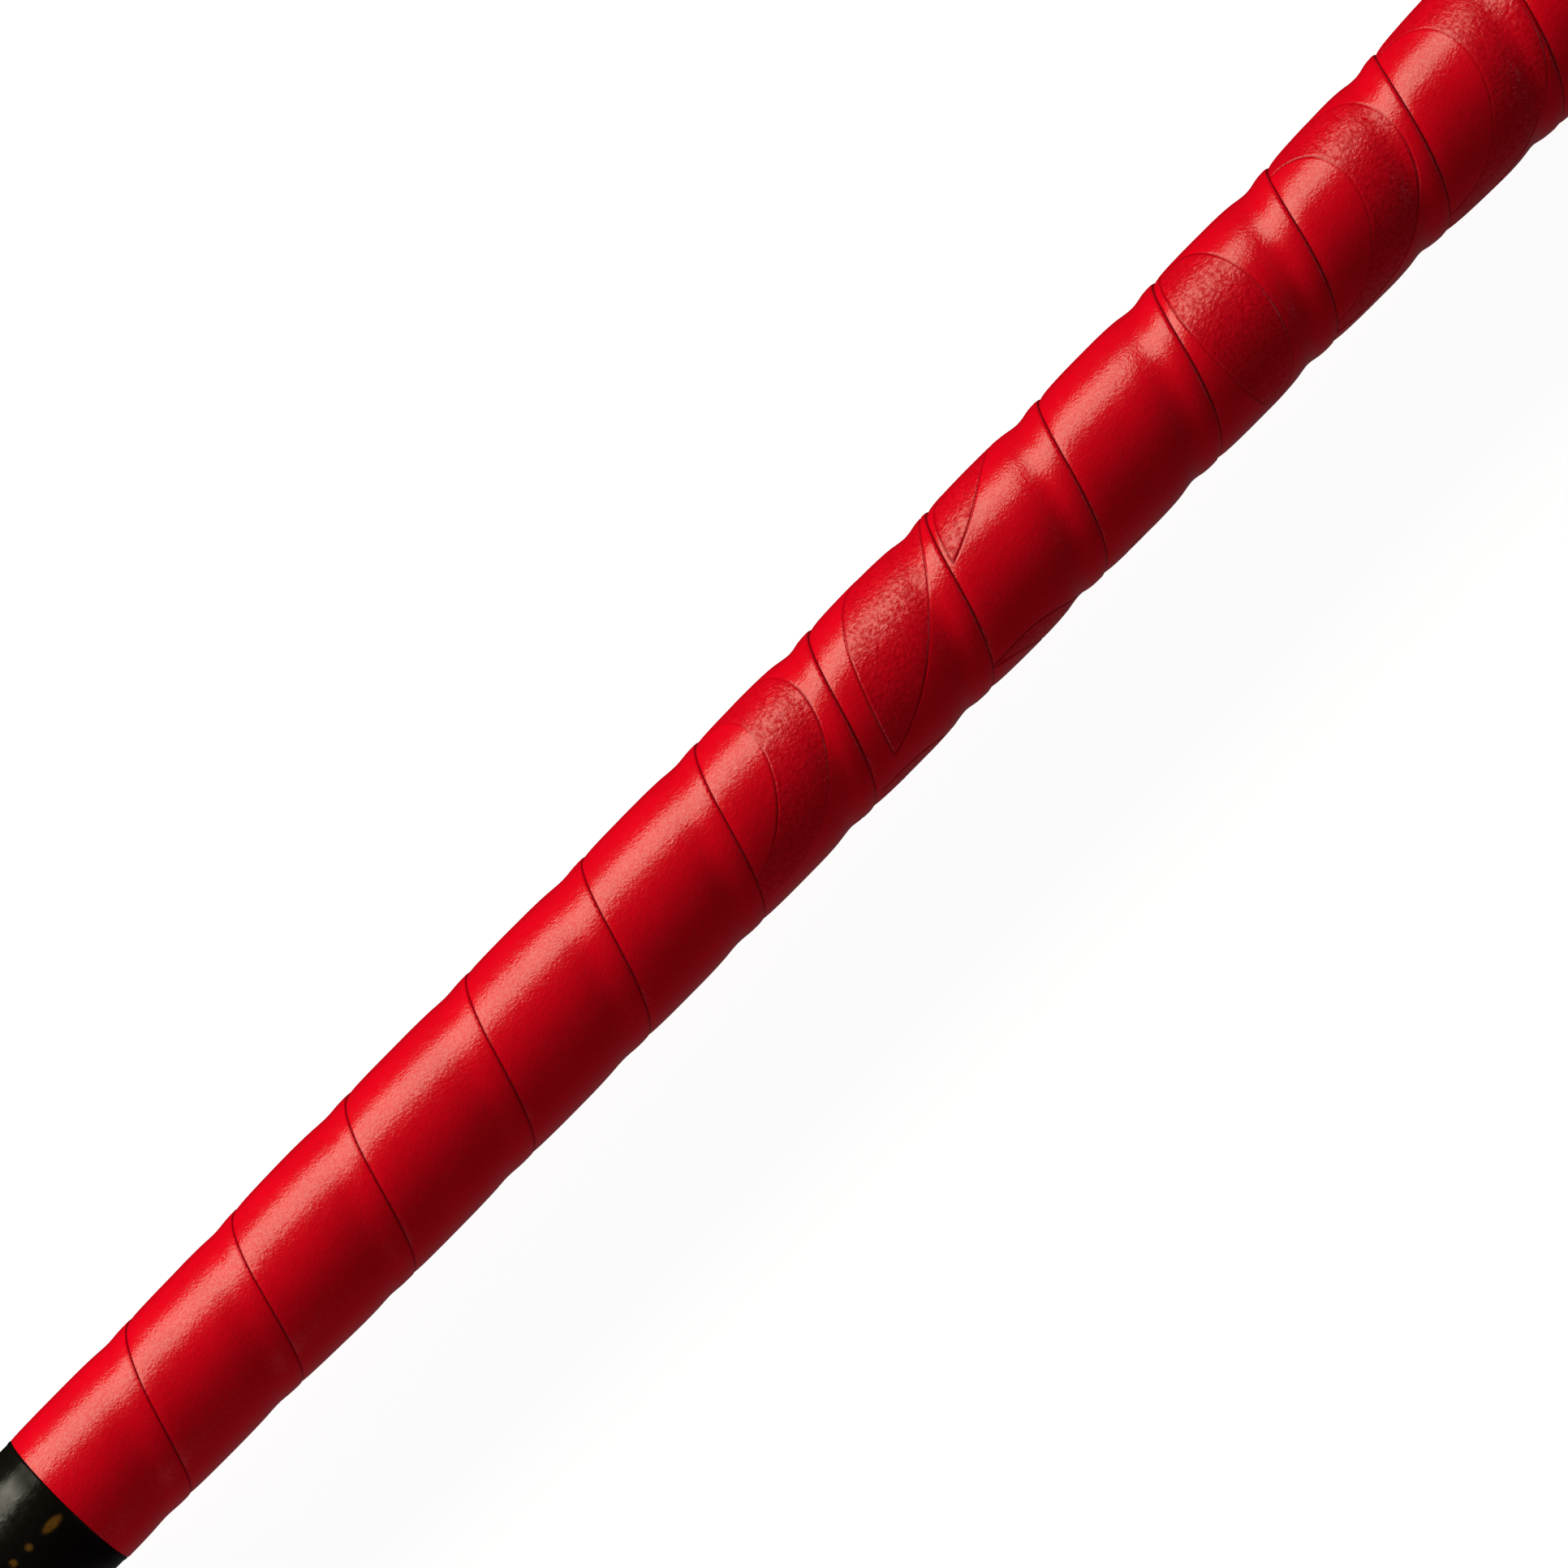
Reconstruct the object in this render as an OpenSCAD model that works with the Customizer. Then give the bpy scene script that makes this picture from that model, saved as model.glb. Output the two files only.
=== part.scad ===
// Devil stick: the long baton that is batted to and fro, without its two hand sticks.
// A turned wooden core, narrow at the waist and flared at both ends, is cushioned with foam tape,
// wound with an embossed grip strip on each half, sleeved in black at the balance point and closed
// by rubber caps that are screwed to steel weights in the ends of the core.
// The stick lies along X with its balance point at the origin. All sizes are in millimetres.

/* [Core] */
// Overall length over both rubber caps
stick_len = 720; // [680:10:760]
// Radius of the core at the waist
core_waist_r = 9.45; // [9:0.05:10]
// Growth of the core's radius from the waist to the straight stretch
waist_rise = 0.6; // [0:0.1:1]
// Growth of the core's radius over the flared end
flare_rise = 2.5; // [1.5:0.1:2.8]
// Length of each flared end
flare_len = 75; // [50:1:90]

/* [Centre] */
// Length of the black centre sleeve
centre_len = 42; // [30:1:60]
// Wall of the centre sleeve
sleeve_t = 0.9; // [0.6:0.1:1.2]
// How far the sleeve's surface lies below the grip strip's crest
sleeve_step = 0.2; // [0:0.05:0.4]
// Height of the bead along each edge of the sleeve
bead_h = 0.12; // [0.05:0.01:0.2]

/* [Grip] */
// Width of the grip strip before it is wound
strip_w = 28; // [27:0.5:30]
// Advance of the strip along the stick in one turn
lap_pitch = 24; // [23:0.5:25]
// Thickness of the strip over its padded middle
strip_t = 1.7; // [1.4:0.1:2]
// Thickness of the strip at its skived edges
edge_t = 0.4; // [0.3:0.05:0.6]
// Thickness of the foam cushion tape under the strip
cushion_t = 1; // [0.6:0.1:1.4]

/* [Ends] */
// Outer radius of the rubber cap
cap_r = 17; // [16.8:0.1:18]
// Length of the rubber cap
cap_len = 21; // [20:0.5:24]
// Rubber between the end of the core and the washer
cap_floor = 3.8; // [3:0.1:4.5]
// Radius of the steel weight
weight_r = 6; // [4.5:0.1:7]
// Length of the steel weight
weight_len = 28; // [25:1:40]

/* [Hidden] */
$fn = 96;
fit_gap = 0.05;          // film of glue or play between neighbouring pieces
half = stick_len / 2;
centre_half = centre_len / 2;
screw_r = 2.5;           // M5
thread_len = 18;         // screw thread held in the weight
head_r = 4.75;
head_h = 2.75;
head_edge = 0.6;         // straight edge of the head below its dome
socket_across = 3;       // hexagon socket, across its flats
socket_deep = 1.6;
washer_r = 7;
washer_t = 1.2;
head_recess = 0.25;      // screw head below the cap's end face
start_tape_w = 10;
start_tape_t = 0.2;
cap_round = 4;           // rounding of the cap's outer edge
cap_lip_round = 0.8;     // rounding of the cap's mouth
groove_deep = 0.5;       // two finger grooves round the cap
groove_w = 1;
groove_first = 3;        // from the cap's mouth to its first groove
groove_step = 3;
chamfer = 1;

well_floor_x = half - head_recess - head_h - washer_t; // where the washer sits
core_half = well_floor_x - cap_floor - fit_gap;
mouth_x = half - cap_len;
grip_end_x = core_half - chamfer;
flare_start = core_half - flare_len;
waist_start = centre_half + 25;
waist_end = centre_half + 59;
bead_w = 0.8;

station_step = 8;        // spacing of the sections of a turned profile
columns = 24;            // facets round the grip strip
overlap = strip_w - lap_pitch;
first_seam_x = centre_half - 0.4; // seam at angle 0 that the sleeve end's cut just takes off

// ---------- profiles ----------

function clamp01(t) = min(1, max(0, t));
function ease(t) = let (c = clamp01(t)) c * c * (3 - 2 * c);

// Radius of the wooden core at distance x from the balance point
function core_r(x) =
    core_waist_r
    + waist_rise * ease((abs(x) - waist_start) / (waist_end - waist_start))
    + flare_rise * pow(clamp01((abs(x) - flare_start) / flare_len), 1.5);

function cushion_r(x) = core_r(x) + fit_gap + cushion_t;
function grip_r(x) = cushion_r(x) + fit_gap + strip_t;
sleeve_r = grip_r(0) - sleeve_step;

// Evenly spaced sections from a to b
function stations(a, b) =
    let (n = max(1, round((b - a) / station_step)))
    [for (i = [0:n]) a + (b - a) * i / n];

// Points of an arc from angle a to b, as [radius, x] pairs
function arc(cr, cx, r, a, b, n = 8) =
    [for (i = [0:n]) let (t = a + (b - a) * i / n) [cr + r * cos(t), cx + r * sin(t)]];

// ---------- helpers ----------

// Turns a profile of [radius, x] points about the X axis
module turned(profile) {
    rotate([0, 90, 0]) rotate_extrude() polygon(profile);
}

// A plain tube or, with no bore, a rod along X
module tube(x_from, x_to, r, bore = 0) {
    translate([x_from, 0, 0]) rotate([0, 90, 0]) difference() {
        cylinder(h = x_to - x_from, r = r);
        if (bore > 0) translate([0, 0, -1]) cylinder(h = x_to - x_from + 2, r = bore);
    }
}

// Puts a right-hand piece at the left end, as the maker does by turning the stick end for end
module at_left() {
    rotate([0, 0, 180]) children();
}

// ---------- middle of the stick ----------

module core_stick() {
    xs = stations(-grip_end_x, grip_end_x);
    color("burlywood") difference() {
        turned(concat(
            [[0, -core_half], [core_r(core_half) - chamfer, -core_half]],
            [for (x = xs) [core_r(x), x]],
            [[core_r(core_half) - chamfer, core_half], [0, core_half]]
        ));
        for (side = [0, 180]) rotate([0, 0, side])
            tube(core_half - weight_len - fit_gap, core_half + 1, weight_r + fit_gap);
    }
}

// Rubber tube that builds the waist up to the level of the grip strip
module centre_collar() {
    color("dimgray")
        tube(-centre_half, centre_half, sleeve_r - sleeve_t - fit_gap, core_waist_r + fit_gap);
}

// Glossy black sleeve with a low bead along each edge
module centre_sleeve() {
    color("black") turned([
        [sleeve_r - sleeve_t, -centre_half],
        [sleeve_r, -centre_half],
        [sleeve_r + bead_h, -centre_half + bead_w / 2],
        [sleeve_r, -centre_half + bead_w],
        [sleeve_r, centre_half - bead_w],
        [sleeve_r + bead_h, centre_half - bead_w / 2],
        [sleeve_r, centre_half],
        [sleeve_r - sleeve_t, centre_half]
    ]);
}

// ---------- one half of the wrapping ----------

// Foam tape laid edge to edge on the core
module cushion_tape() {
    xs = stations(centre_half + fit_gap, grip_end_x);
    n = len(xs) - 1;
    color("lightgray") turned(concat(
        [for (x = xs) [cushion_r(x), x]],
        [for (i = [n:-1:0]) [core_r(xs[i]) + fit_gap, xs[i]]]
    ));
}

// How far the strip's surface lies below its crest, from one seam to the next: the foot of the
// lip above it, the padded crown, the hollow beside the buried edge and the lip on the next turn
lap_profile = [
    [0, strip_t * 0.34],
    [0.09, strip_t * 0.07],
    [0.25, 0],
    [0.58, 0],
    [0.7, strip_t * 0.12],
    [1 - (overlap + 0.6) / lap_pitch, strip_t * 0.37],
    [1, strip_t * 0.34 - edge_t]
];
lap_points = len(lap_profile);
grip_start_x = centre_half + fit_gap;
turns = ceil((grip_end_x - grip_start_x) / lap_pitch) + 2;
rows = turns * lap_points;

// Drop below the crest at a share t of the way from one seam to the next
function lap_drop(t, i = 1) =
    t <= lap_profile[i][0] || i == lap_points - 1
        ? let (a = lap_profile[i - 1], b = lap_profile[i])
          a[1] + (b[1] - a[1]) * clamp01((t - a[0]) / (b[0] - a[0]))
        : lap_drop(t, i + 1);

// Where row m of a column lies along the stick, before the ends are cut square
function seam_x(m, share) =
    first_seam_x + lap_pitch * (floor(m / lap_points) - 1 + lap_profile[m % lap_points][0] - share);

// Surface point of the wound strip. Rows past a cut end all fall on one point of its rim.
function grip_point(m, share) =
    let (raw = seam_x(m, share))
    let (x = min(grip_end_x, max(grip_start_x, raw)))
    let (lap = (x - first_seam_x) / lap_pitch + share)
    let (drop = x == raw ? lap_profile[m % lap_points][1] : lap_drop(lap - floor(lap)))
    let (r = grip_r(x) - drop)
    [x, r * cos(360 * share), r * sin(360 * share)];

// Point of the strip's inner face, clear of the round cushion between its facets
function grip_bore_point(x, share) =
    let (r = (cushion_r(x) + fit_gap / 2) / cos(180 / columns))
    [x, r * cos(360 * share), r * sin(360 * share)];

// Strip wound from the end cap inwards as a left-hand helix, so each turn laps over the one
// that lies further out. Both ends are cut square to the stick.
module grip_strip() {
    xs = stations(grip_start_x, grip_end_x);
    bore_rows = len(xs);
    outer_points = columns * rows;
    points = concat(
        [for (j = [0:columns - 1]) for (m = [0:rows - 1]) grip_point(m, j / columns)],
        [for (j = [0:columns - 1]) for (x = xs) grip_bore_point(x, j / columns)]
    );
    // A column and its neighbour meet row for row, but round the join the neighbour is a turn on
    function outer_id(j, m) =
        j < columns ? j * rows + m : min(rows - 1, max(0, m - lap_points));
    function bore_id(j, i) = outer_points + (j % columns) * bore_rows + i;
    skin = [
        for (j = [0:columns - 1]) for (m = [0:rows - 2])
            let (a = outer_id(j, m), b = outer_id(j, m + 1))
            let (c = outer_id(j + 1, m + 1), d = outer_id(j + 1, m))
            each [[a, b, c], [a, c, d]]
    ];
    bore = [
        for (j = [0:columns - 1]) for (i = [0:bore_rows - 2])
            let (a = bore_id(j, i), b = bore_id(j, i + 1))
            let (c = bore_id(j + 1, i + 1), d = bore_id(j + 1, i))
            each [[a, c, b], [a, d, c]]
    ];
    rims = [
        for (j = [0:columns - 1]) let (k = (j + 1) % columns) each [
            [bore_id(j, 0), outer_id(j, 0), outer_id(k, 0)],
            [bore_id(j, 0), outer_id(k, 0), bore_id(k, 0)],
            [bore_id(j, bore_rows - 1), outer_id(k, rows - 1), outer_id(j, rows - 1)],
            [bore_id(j, bore_rows - 1), bore_id(k, bore_rows - 1), outer_id(k, rows - 1)]
        ]
    ];
    solid_faces = [
        for (f = concat(skin, bore, rims))
            if (points[f[0]] != points[f[1]] && points[f[1]] != points[f[2]]
                && points[f[2]] != points[f[0]]) f
    ];
    color("crimson") polyhedron(points = points, faces = solid_faces);
}

// Turn of vinyl tape that holds the first end of the strip, hidden by the cap's skirt
module start_tape() {
    x_from = grip_end_x - start_tape_w;
    r_from = grip_r(x_from) + fit_gap;
    r_to = grip_r(grip_end_x) + fit_gap;
    color("darkslategray") turned([
        [r_from, x_from],
        [r_from + start_tape_t, x_from],
        [r_to + start_tape_t, grip_end_x],
        [r_to, grip_end_x]
    ]);
}

// ---------- one end ----------

// Steel slug glued into the core, tapped for the cap's screw
module end_weight() {
    color("silver") difference() {
        tube(core_half - weight_len, core_half, weight_r);
        tube(core_half - thread_len - 2, core_half + 1, screw_r + fit_gap);
    }
}

// Rubber cap with a skirt over the end of the grip and a well for the screw
module end_cap() {
    skirt_gap = start_tape_t + 3 * fit_gap;
    groove_x = [for (i = [0:1]) mouth_x + groove_first + groove_step * i];
    color("black") difference() {
        turned(concat(
            [[screw_r + 3 * fit_gap, core_half + fit_gap],
             [grip_r(core_half) + skirt_gap, core_half + fit_gap],
             [grip_r(mouth_x) + skirt_gap, mouth_x]],
            arc(cap_r - cap_lip_round, mouth_x + cap_lip_round, cap_lip_round, -90, 0, 4),
            arc(cap_r - cap_round, half - cap_round, cap_round, 0, 90),
            [[washer_r + 0.6, half],
             [washer_r + 0.6, well_floor_x],
             [screw_r + 3 * fit_gap, well_floor_x]]
        ));
        for (x = groove_x)
            tube(x - groove_w / 2, x + groove_w / 2, cap_r + 1, cap_r - groove_deep);
    }
}

module end_washer() {
    color("silver")
        tube(well_floor_x, well_floor_x + washer_t, washer_r, screw_r + 3 * fit_gap);
}

// Button-head screw with a hexagon socket
module end_screw() {
    head_x = well_floor_x + washer_t;
    dome_x = head_x + head_edge;
    color("silver") difference() {
        union() {
            tube(core_half - thread_len, head_x, screw_r);
            turned(concat(
                [[0, head_x], [head_r, head_x], [head_r, dome_x]],
                [for (t = [22.5:22.5:90]) [
                    head_r - (head_r - socket_across) * (1 - cos(t)),
                    dome_x + (head_h - head_edge) * sin(t)
                ]],
                [[0, head_x + head_h]]
            ));
        }
        translate([head_x + head_h - socket_deep, 0, 0]) rotate([0, 90, 0])
            cylinder(h = socket_deep + 1, r = socket_across / sqrt(3), $fn = 6);
    }
}

// ---------- nodes ----------

core_stick();
centre_collar();
centre_sleeve();
cushion_tape();  // cushion_tape_right
at_left() cushion_tape();  // cushion_tape_left
grip_strip();  // grip_strip_right
at_left() grip_strip();  // grip_strip_left
start_tape();  // start_tape_right
at_left() start_tape();  // start_tape_left
end_weight();  // end_weight_right
at_left() end_weight();  // end_weight_left
end_cap();  // end_cap_right
at_left() end_cap();  // end_cap_left
end_washer();  // end_washer_right
at_left() end_washer();  // end_washer_left
end_screw();  // end_screw_right
at_left() end_screw();  // end_screw_left
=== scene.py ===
"""Looks of the devil stick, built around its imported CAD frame.

Shapes are worked out in millimetres in the row frame (+X along the stick, +Z up) and turned into metres
when a mesh is made. Every piece of the right half is also used at the left, turned 180 degrees about Z.
"""

import math

import bpy
import numpy as np
from mathutils import Matrix, Quaternion, Vector, geometry, kdtree, noise


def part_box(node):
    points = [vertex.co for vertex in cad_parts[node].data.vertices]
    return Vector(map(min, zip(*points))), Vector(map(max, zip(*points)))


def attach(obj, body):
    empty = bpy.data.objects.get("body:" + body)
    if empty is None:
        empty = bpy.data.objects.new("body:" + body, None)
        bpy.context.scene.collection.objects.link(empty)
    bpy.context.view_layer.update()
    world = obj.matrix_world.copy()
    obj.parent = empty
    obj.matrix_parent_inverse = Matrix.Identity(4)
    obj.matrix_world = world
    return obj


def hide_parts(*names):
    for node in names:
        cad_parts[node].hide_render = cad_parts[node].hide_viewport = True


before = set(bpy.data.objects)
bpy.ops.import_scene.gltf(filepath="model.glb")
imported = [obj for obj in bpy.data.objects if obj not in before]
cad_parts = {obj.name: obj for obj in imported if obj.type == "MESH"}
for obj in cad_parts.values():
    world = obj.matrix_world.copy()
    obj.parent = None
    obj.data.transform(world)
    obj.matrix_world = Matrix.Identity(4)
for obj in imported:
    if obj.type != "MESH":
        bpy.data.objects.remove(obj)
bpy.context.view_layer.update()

MM = 0.001
SIDES = {"right": 1, "left": -1}


def span_x(node):
    """Lowest and highest x of a CAD node, in millimetres."""
    low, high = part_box(node)
    return low.x / MM, high.x / MM


# ---------- the design's dimensions, in millimetres ----------

WAIST_R = 9.45  # wooden core at the waist
WAIST_RISE, WAIST_FROM, WAIST_TO = 0.6, 46.0, 80.0
FLARE_RISE, FLARE_LEN = 2.5, 75.0
CUSHION_T = 1.0
STRIP_T = 1.7
FILM = 0.05  # glue or play between neighbours

PITCH = 24.0  # advance of the grip strip per turn
STRIP_W = 28.0
OVERLAP = STRIP_W - PITCH
TURN_LEN = 2 * math.pi * 12.7  # length of strip in one turn
ROUND_R = 12.0  # radius at which noise that runs round the stick is read

GRIP_FROM, GRIP_TO = span_x("grip_strip_right")
SLEEVE_FROM, SLEEVE_TO = span_x("centre_sleeve")
CAP_FROM, CAP_TO = span_x("end_cap_right")
CORE_TO = span_x("core_stick")[1]
CAP_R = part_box("end_cap_right")[1].z / MM
FIRST_SEAM = SLEEVE_TO - 0.4  # seam nearest the sleeve, on the stick's +Y side
SLEEVE_R = WAIST_R + 2 * FILM + CUSHION_T + STRIP_T - 0.2
SLEEVE_T = 0.9


def smoothstep(t):
    t = np.clip(t, 0.0, 1.0)
    return t * t * (3 - 2 * t)


def core_radius(x):
    x = np.abs(x)
    waist = WAIST_RISE * smoothstep((x - WAIST_FROM) / (WAIST_TO - WAIST_FROM))
    flare = FLARE_RISE * np.clip((x - (CORE_TO - FLARE_LEN)) / FLARE_LEN, 0, 1) ** 1.5
    return WAIST_R + waist + flare


def crest_radius(x):
    """Outside of the grip strip over its padded middle."""
    return core_radius(x) + CUSHION_T + STRIP_T + 2 * FILM


def curve_through(points, at):
    """Smooth curve through (place, value) points, read at the given places."""
    px, py = np.array(points, float).T
    slope = np.gradient(py, px)
    at = np.clip(at, px[0], px[-1])
    i = np.clip(np.searchsorted(px, at, side="right") - 1, 0, len(px) - 2)
    width = px[i + 1] - px[i]
    u = (at - px[i]) / width
    return (
        (2 * u**3 - 3 * u**2 + 1) * py[i]
        + (u**3 - 2 * u**2 + u) * width * slope[i]
        + (-2 * u**3 + 3 * u**2) * py[i + 1]
        + (u**3 - u**2) * width * slope[i + 1]
    )


def noise_at(places, size, seed=0.0):
    """Soft noise from -1 to 1 with features of about that size, at rows of x, y, z."""
    shift = Vector((seed * 17.3, seed * 5.1, seed * 11.7))
    return np.array([noise.noise(Vector(p) / size + shift) for p in places])


# ---------- meshes ----------


def make_piece(name, points, faces, material, slot, stands_for, side="right", smooth_deg=40, marks=None):
    """Mesh object from millimetre points that rides on the stick and stands for a CAD node."""
    turn = SIDES[side]
    points = np.array(points, float) * MM * (turn, turn, 1)
    mesh = bpy.data.meshes.new(name)
    mesh.from_pydata(points.tolist(), [], [list(map(int, f)) for f in faces])
    mesh.validate()
    mesh.shade_smooth()
    mesh.set_sharp_from_angle(angle=math.radians(smooth_deg))
    for mark, values in (marks or {}).items():
        layer = mesh.attributes.new(mark, "FLOAT", "POINT")
        layer.data.foreach_set("value", np.array(values, np.float32))
    mesh.materials.append(material)
    piece = bpy.data.objects.new(name, mesh)
    bpy.context.scene.collection.objects.link(piece)
    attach(piece, "root")
    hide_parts(stands_for)
    return piece


def make_pair(name, points, faces, material, slot, stands_for, **options):
    """The same piece at the right and at the left. Its name and its CAD node's name end in the side's."""
    return [
        make_piece(f"{name}_{side}", points, faces, material, slot, f"{stands_for}_{side}", side, **options)
        for side in SIDES
    ]


def skin_rings(rings, closed=False):
    """Points and faces of a skin over rings of (x, radii), one radius per angle round the X axis.

    A ring of zero radii is one point on the axis. A closed skin also joins the last ring to the first.
    """
    segments = len(rings[0][1])
    angles = 2 * np.pi * np.arange(segments) / segments
    points, rows, faces = [], [], []
    for x, radii in rings:
        if max(radii) == 0:
            rows.append([len(points)] * segments)
            points.append((x, 0.0, 0.0))
        else:
            rows.append(list(range(len(points), len(points) + segments)))
            points += [(x, r * math.cos(a), r * math.sin(a)) for r, a in zip(radii, angles)]
    if closed:
        rows.append(rows[0])
    for near, far in zip(rows, rows[1:]):
        for j in range(segments):
            k = (j + 1) % segments
            corners = [near[j], near[k], far[k], far[j]]
            faces.append([c for i, c in enumerate(corners) if c != corners[i - 1]])
    return np.array(points), faces


def lathe(profile, segments=96):
    """Points and faces of a closed profile of (radius, x) pairs turned about the X axis."""
    return skin_rings([(x, np.full(segments, r)) for r, x in profile], closed=True)


def arc(centre_r, centre_x, radius, start_deg, end_deg, steps=8):
    """(radius, x) points of an arc; 0 degrees points away from the axis and 90 along +X."""
    angles = np.radians(np.linspace(start_deg, end_deg, steps + 1))
    return [(centre_r + radius * math.cos(a), centre_x + radius * math.sin(a)) for a in angles]


# ---------- grip strip ----------
# A place on the strip is (phi, t): phi counts turns from the outer end, t is the distance in
# millimetres from the exposed edge, the lip, towards the stick's centre.

TURNS = math.ceil((GRIP_TO - FIRST_SEAM) / PITCH)
# How far the surface lies below its crest, by t: lip, hollow, crown and the foot under the next lip
LAP_DROP = [
    (0.0, 0.36), (0.08, 0.29), (0.3, 0.23), (1.2, 0.20), (2.4, 0.30), (3.6, 0.54),
    (4.8, 0.64), (6.0, 0.52), (7.6, 0.25), (10.0, 0.06), (14.0, 0.0), (18.5, 0.02),
    (21.0, 0.10), (22.6, 0.23), (23.5, 0.40), (PITCH, 0.58),
]  # fmt: skip
BURIED_DROP = 1.35  # top of the skived edge at t = STRIP_W
# t of the rows of points on the strip's outer face, and on its hidden one
ROWS = [0.07, 0.16, 0.3, 0.6, 1.2, 1.8, 2.4, 3.0, 3.6, 4.2, 4.8, 5.4, 6.0, 6.8, 7.6, 8.8, 10.0, 11.5,
        13.0, 14.5, 16.0, 17.5, 19.0, 20.2, 21.2, 22.0, 22.6, 23.1, 23.5, 23.75, 23.9, PITCH, 24.4,
        25.2, 26.5]  # fmt: skip
UNDER_ROWS = [1.5, 4.0, 4.7, 11.0, 19.0]
GRID_STEP = 1.25  # distance of the points along a row
GROOVE_DEEP, GROOVE_HALF, GROOVE_FLAT = 0.11, 0.26, 0.09  # depth, half width and half width of its bottom
GROOVE_MARGIN = 0.22  # to the row of points that keeps a groove's edge sharp
LINE_STEP, LINE_CLEAR = 0.06, 0.62  # fineness of a motif's line, and its distance from the grid's points
LIP_CLEAR, FOOT_CLEAR = 0.45, 0.3  # grooves stop this far from the lip and from the next lip
PRESSED_DEEP = 0.03  # the stippled inside of a motif lies this much lower
PRESSED_SLOPE = 0.3  # width of the slope down to it
LIP_BULGE = 0.04  # the lip is rounded by this much


def seam_x(phi):
    return FIRST_SEAM + PITCH * (TURNS - phi)


# How far the hand-wound lip strays towards the stick's end, by its place along the stick
STRAY = [
    (20, 0.8), (38, 1.1), (61, -0.3), (85, -1.1), (111, 0.1), (135, 0.1), (159, 0.0), (183, -0.8),
    (208, 0.4), (232, -0.1), (256, 0.2), (280, 0.7), (301, 0.1), (325, -0.2), (351, 0.0),
]  # fmt: skip


def wander(phi):
    """How far the hand-wound lip strays from its true place."""
    waves = 2.6 * phi
    places = np.pad(waves[:, None], ((0, 0), (0, 2)))
    return 0.5 * noise_at(places, 1.0, seed=1) + curve_through(STRAY, seam_x(phi))


def strip_place(phi, t):
    """x of a place on the strip, and t stretched so that the next lip always lies at PITCH."""
    x = seam_x(phi) - t
    held = smoothstep((x - GRIP_FROM) / 5) * smoothstep((GRIP_TO - x) / 5)
    own, after = wander(phi) * held, wander(phi + 1) * held
    return x + own, t * PITCH / (PITCH + own - after)


def lap_drop(x, t):
    """How far the surface lies below the crest: the laps are flattest near the sleeve."""
    swell = 0.42 + 0.12 * smoothstep((x - 115) / 30) + 0.46 * smoothstep((x - 160) / 24)
    visible = swell * curve_through(LAP_DROP, t)
    foot = swell * LAP_DROP[-1][1]
    share = np.clip((t - PITCH) / OVERLAP, 0, 1)
    return np.where(t > PITCH, foot + (BURIED_DROP - foot) * share**0.8, visible)


def hand_made(x, phi):
    """Small unevenness of the wound surface, the same for every layer at one place."""
    angle = 2 * np.pi * phi
    places = np.stack([x, ROUND_R * np.cos(angle), ROUND_R * np.sin(angle)], 1)
    return 0.045 * noise_at(places, 13.0, seed=2) + 0.015 * noise_at(places, 4.5, seed=3)


def crescent(size):
    """Closed outline of a crescent with its back towards the lip: two arcs between its horns."""
    outer_r, inner_r, shift = 0.62 * size, 0.52 * size, 0.26 * size
    reach = (outer_r**2 - inner_r**2 + shift**2) / (2 * shift)
    half = math.sqrt(outer_r**2 - reach**2)
    a, b = math.atan2(half, reach), math.atan2(half, reach - shift)

    def bow(radius, centre, angles):
        return [(radius * math.sin(v), centre - radius * math.cos(v)) for v in angles]

    back = bow(outer_r, 0.0, np.linspace(a - math.pi, math.pi - a, 60))
    inside = bow(inner_r, shift, np.linspace(math.pi - b, b - math.pi, 48))
    return np.array(back[:-1] + inside[:-1])


def leaf(size, near=0.22, far=0.12):
    """Closed outline of a pointed leaf: two arcs that bulge by near and far shares of its length."""

    def edge(bulge, sign):
        radius = size * (0.25 + bulge**2) / (2 * bulge)
        half = math.asin(0.5 * size / radius)
        angles = np.linspace(-half, half, 44)
        rises = [radius * math.cos(v) - radius + bulge * size for v in angles]
        return [(radius * math.sin(v), sign * rise) for v, rise in zip(angles, rises)]

    return np.array(edge(near, -1)[:-1] + edge(far, 1)[::-1][:-1])


# Pressed motifs: outline, seam counted from the sleeve, share of a turn from +Y, t and turn in degrees
MOTIFS = [
    (crescent(27), 7, 0.20, 20.5, 8),
    (leaf(44), 7, 0.72, 12.0, 24),
    (leaf(46), 8, 0.11, 12.5, 20),
    (crescent(24), 8, 0.62, 19.0, -6),
    (leaf(30), 9, 0.02, 17.0, 22),
    (crescent(26), 9, 0.60, 18.0, 10),
    (leaf(34), 10, 0.66, 13.0, -20),
    (leaf(40, 0.2, 0.1), 11, 0.25, 17.5, -14),
    (crescent(25), 11, 0.78, 20.0, 6),
    (crescent(28), 12, 0.24, 20.0, -4),
    (leaf(42), 12, 0.74, 12.0, 18),
    (crescent(30), 13, 0.25, 19.0, 6),
    (leaf(40), 13, 0.76, 12.0, -22),
    (leaf(44), 14, 0.30, 13.0, 20),
]


def motif_outlines():
    """Motif outlines as closed loops of flat strip places (length along the strip, t)."""
    loops = []
    for outline, seam, share, t, turn_deg in MOTIFS:
        a = math.radians(turn_deg)
        turned = outline @ np.array([[math.cos(a), math.sin(a)], [-math.sin(a), math.cos(a)]])
        loops.append(turned + ((TURNS - seam + share) * TURN_LEN, t))
    return loops


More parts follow.
